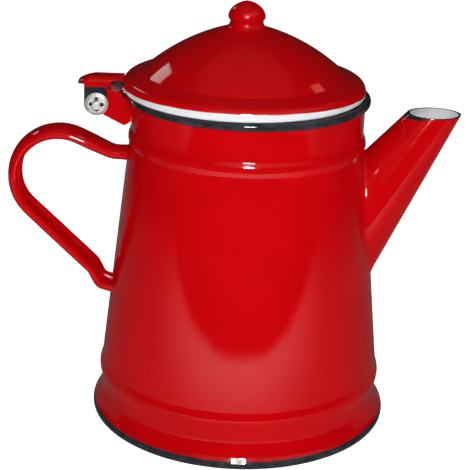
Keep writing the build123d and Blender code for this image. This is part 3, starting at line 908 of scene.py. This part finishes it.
def make_floor(name, low, high, level, material):
    """A level sheet of the floor, given by two corners and its height in metres."""
    put_down()
    bpy.ops.mesh.primitive_plane_add(size=1.0, location=(0, 0, 0))
    sheet = bpy.context.object
    sheet.name = name
    bpy.ops.object.mode_set(mode="EDIT")
    bpy.ops.transform.resize(value=(high[0] - low[0], high[1] - low[1], 1))
    bpy.ops.transform.translate(value=((low[0] + high[0]) / 2, (low[1] + high[1]) / 2, level))
    bpy.ops.object.mode_set(mode="OBJECT")
    wear(sheet, material)
    return sheet


def pale_floor():
    """White paper that reads plain white, and lights the pot only softly from below."""
    material, tree, shader = new_finish("pale_floor")
    shader.inputs["Base Color"].default_value = FLOOR_WHITE
    shader.inputs["Roughness"].default_value = 0.9
    shader.inputs["Specular IOR Level"].default_value = 0.0
    seen = add(tree, "ShaderNodeLightPath").outputs["Is Camera Ray"]
    tree.links.new(math_node(tree, "MULTIPLY_ADD", seen, FLOOR_SEEN, FLOOR_GLOW), shader.inputs["Emission Color"])
    shader.inputs["Emission Strength"].default_value = 1.0
    return material


def paper_painted_flash_pool():
    """Paper in front of the pot that glows with a painted pool of flash light: bright behind its front edge, dim
    to the sides.
    """
    material, tree, shader = new_finish("paper_painted_flash_pool")
    shader.inputs["Base Color"].default_value = (0, 0, 0, 1)
    shader.inputs["Specular IOR Level"].default_value = 0.0
    place = add(tree, "ShaderNodeTexCoord").outputs["Object"]
    split = add(tree, "ShaderNodeSeparateXYZ")
    tree.links.new(place, split.inputs[0])
    across, deep = split.outputs["X"], split.outputs["Y"]

    def fade(source, middle, reach):
        """1 at the middle, falling away on both sides."""
        off = math_node(tree, "DIVIDE", math_node(tree, "SUBTRACT", source, middle), reach)
        fall = math_node(tree, "MULTIPLY", math_node(tree, "MULTIPLY", off, off), -1.0)
        return math_node(tree, "EXPONENT", fall)

    def ends(source, near, far):
        """1 up to near, 0 past far."""
        return math_node(tree, "SUBTRACT", 1.0, ramp_node(tree, source, near, far))

    # The front edge: slanting, turned back at both sides, and uneven
    slant, turned_back, uneven = -0.03, -0.05, 0.035
    ragged = math_node(tree, "SUBTRACT", noise_node(tree, place, scale=26.0, detail=3.0), 0.5)
    aside = math_node(tree, "ABSOLUTE", across)
    behind = math_node(tree, "MULTIPLY_ADD", across, slant, deep)
    behind = math_node(tree, "MULTIPLY_ADD", aside, turned_back, behind)
    behind = math_node(tree, "MULTIPLY_ADD", ragged, uneven, behind)
    sheet = ramp_node(tree, behind, -0.318, -0.276)
    # The painted patch of flash light, and the dim painted light that draws in towards the back
    dim_front, dim_rise, draws_in = 0.085, 0.06, 0.15
    bright = math_node(tree, "MULTIPLY", fade(deep, -0.27, 0.105), fade(across, 0.0, 0.28))
    bright = math_node(tree, "MULTIPLY", bright, ends(aside, 0.40, 0.55))
    dim = math_node(tree, "MULTIPLY_ADD", ramp_node(tree, deep, 0.05, 0.35), dim_rise, dim_front)
    aside = math_node(tree, "MULTIPLY_ADD", ramp_node(tree, deep, 0.0, 0.3), draws_in, aside)
    dim = math_node(tree, "MULTIPLY", dim, ends(aside, 0.30, 0.66))
    glow = math_node(tree, "MULTIPLY", math_node(tree, "ADD", bright, dim), sheet)
    # Painted light: the paper glows with the flash's pool of light instead of being lit by a lamp
    tree.links.new(glow, shader.inputs["Emission Color"])
    shader.inputs["Emission Strength"].default_value = 1.0
    return material


floor = make_floor("floor_wide", (-6.0, -6.0), (6.0, 6.0), -0.6 * MM, pale_floor())
floor.visible_glossy = False
# Only reflections see the paper, whose glow is a painted pool of flash light
paper = make_floor("floor_paper", (-0.70, -0.45), (0.70, 0.80), -0.3 * MM, paper_painted_flash_pool())
paper.visible_camera = paper.visible_diffuse = paper.visible_shadow = False


def light_room():
    """A white backdrop for the camera; dim room light for the enamel, brightest in front at eye height."""
    front_glow, ceiling_glow, room_glow = 0.30, 0.06, 0.012
    spout_side = 0.25           # how far the front glow leans towards the spout
    world = bpy.data.worlds.new("studio")
    bpy.context.scene.world = world
    world.use_nodes = True
    tree = world.node_tree
    split = add(tree, "ShaderNodeSeparateXYZ")
    tree.links.new(add(tree, "ShaderNodeTexCoord").outputs["Generated"], split.inputs[0])
    front = math_node(tree, "MULTIPLY", split.outputs["Y"], -1.0)
    front = math_node(tree, "MULTIPLY_ADD", split.outputs["X"], spout_side, front)
    front = ramp_node(tree, front, -0.1, 0.5)
    front = math_node(tree, "MULTIPLY", front, ramp_node(tree, split.outputs["X"], -0.62, -0.20))
    band = math_node(tree, "SUBTRACT", ramp_node(tree, split.outputs["Z"], 0.34, 0.50),
                     ramp_node(tree, split.outputs["Z"], 0.74, 0.92))
    glow = math_node(tree, "MULTIPLY", math_node(tree, "MULTIPLY", front, band), front_glow)
    ceiling = ramp_node(tree, split.outputs["Z"], 0.78, 0.96)
    ceiling = math_node(tree, "MULTIPLY_ADD", ceiling, ceiling_glow, room_glow)
    level = math_node(tree, "ADD", glow, ceiling)
    seen = add(tree, "ShaderNodeLightPath").outputs["Is Camera Ray"]
    level = math_node(tree, "ADD", level, seen)
    tree.links.new(level, tree.nodes["Background"].inputs["Strength"])
    tree.nodes["Background"].inputs["Color"].default_value = (1, 1, 1, 1)


light_room()

CAMERA_AT = Vector((0.0, -0.6218, 0.3178))
YAW, PITCH, ROLL = math.radians(-0.363), math.radians(20.504), math.radians(2.005)
FOCAL_PX, PHOTO_PX, SENSOR_WIDTH = 1412.6, 470, 36.0


def make_camera():
    """The camera at the photograph's place; gives back its upward direction."""
    forward = Vector((math.sin(YAW) * math.cos(PITCH), math.cos(YAW) * math.cos(PITCH), -math.sin(PITCH)))
    right = Vector((math.cos(YAW), -math.sin(YAW), 0))
    up = right.cross(forward)
    across = math.cos(ROLL) * right + math.sin(ROLL) * up
    over = -math.sin(ROLL) * right + math.cos(ROLL) * up
    eye = bpy.data.cameras.new("camera")
    eye.sensor_width = SENSOR_WIDTH
    eye.lens = FOCAL_PX / PHOTO_PX * SENSOR_WIDTH
    eye.clip_start = 0.01
    camera = bpy.data.objects.new("camera", eye)
    turn = Matrix((across, over, -forward)).transposed().to_4x4()
    camera.matrix_world = Matrix.Translation(CAMERA_AT) @ turn
    bpy.context.scene.collection.objects.link(camera)
    bpy.context.scene.camera = camera
    return over


def make_lamp(name, place, towards, power, size, shape="DISK", height=None, glossy=True, diffuse=True,
              lean=0.0, colour=(1, 1, 1)):
    """A soft lamp; glossy or diffuse False keeps it out of reflections or of the plain light."""
    lamp = bpy.data.lights.new(name, "AREA")
    lamp.shape = shape
    lamp.size = size
    if height:
        lamp.size_y = height
    lamp.energy = power
    lamp.color = colour
    made = bpy.data.objects.new(name, lamp)
    turn = (Vector(towards) - Vector(place)).to_track_quat("-Z", "Y").to_matrix().to_4x4()
    made.matrix_world = Matrix.Translation(place) @ turn @ Matrix.Rotation(math.radians(lean), 4, "Z")
    made.visible_glossy = glossy
    made.visible_diffuse = diffuse
    made.visible_camera = False
    bpy.context.scene.collection.objects.link(made)


def direction(azimuth, elevation):
    """Azimuth 0 is towards the camera, +90 towards the spout."""
    a, e = math.radians(azimuth), math.radians(elevation)
    return Vector((math.sin(a) * math.cos(e), -math.cos(a) * math.cos(e), math.sin(e)))


FLASH_RISE, FLASH_ASIDE = 0.06, 0.03        # from the lens to the flash
POT_MIDDLE = Vector((0, 0, 0.09))

over = make_camera()
flash_at = CAMERA_AT + over * FLASH_RISE + Vector((FLASH_ASIDE, 0, 0))
make_lamp("flash", flash_at, POT_MIDDLE, power=2.15, size=0.07, glossy=False)
make_lamp("flash_face", flash_at, POT_MIDDLE, power=6.0, size=0.10, diffuse=False)
make_lamp("overhead", (0, -0.1, 1.7), (0, 0, 0), power=3.4, size=1.6, shape="SQUARE", glossy=False)
make_lamp("fill_back", direction(200, 30) * 1.8, POT_MIDDLE, power=2.6, size=1.2, shape="SQUARE", glossy=False)
make_lamp("window_left", POT_MIDDLE + direction(-138, 31) * 2.2, POT_MIDDLE, power=1.0, size=0.60,
          shape="RECTANGLE", height=0.25, diffuse=False, lean=45)
make_lamp("window_right", POT_MIDDLE + direction(123, 43.5) * 2.4, POT_MIDDLE, power=0.6, size=0.42,
          shape="RECTANGLE", height=0.17, diffuse=False, lean=-50, colour=(1.0, 0.27, 0.16))

scene = bpy.context.scene
scene.view_settings.view_transform = "Standard"
scene.view_settings.look = "None"
